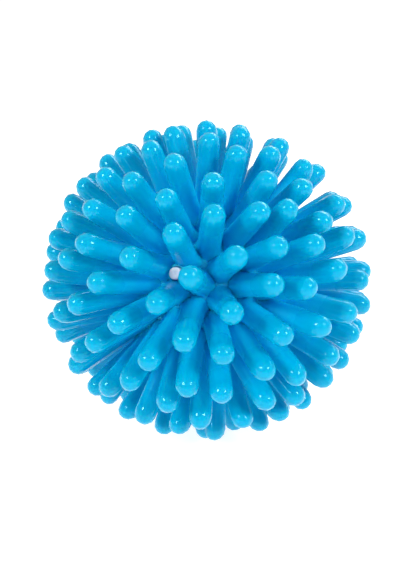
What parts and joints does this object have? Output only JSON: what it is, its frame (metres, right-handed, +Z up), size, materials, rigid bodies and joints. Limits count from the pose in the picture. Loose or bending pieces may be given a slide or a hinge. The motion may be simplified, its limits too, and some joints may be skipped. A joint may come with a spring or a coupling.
{
  "type": "massage ball",
  "caption": "Soft hollow massage ball covered all over in round-ended fingers, moulded as two bonded halves, with a pull-out air stopper set between the fingers.",
  "frame": {"origin": "centre of the ball", "axes": "+Z up as the ball lies, -Y towards the side with the valve stopper, which faces forward, left and up. The mould axis leans 48 degrees from +Z, to the front right."},
  "size_m": [0.0814, 0.0816, 0.078],
  "materials": {
    "blue_vinyl": "glossy soft vinyl",
    "sleeve_vinyl": "satin soft vinyl",
    "white_stopper": "satin"
  },
  "bodies": {
    "ball": {"upper_half_shell": "blue_vinyl", "lower_half_shell": "blue_vinyl", "valve_sleeve": "sleeve_vinyl"},
    "stopper": {"valve_stopper": "white_stopper"}
  },
  "joints": [
    {"name": "stopper_pull", "type": "slide", "parent": "ball", "child": "stopper", "axis": [-0.2498, -0.8747, 0.4153], "range_m": [0, 0.026]}
  ]
}
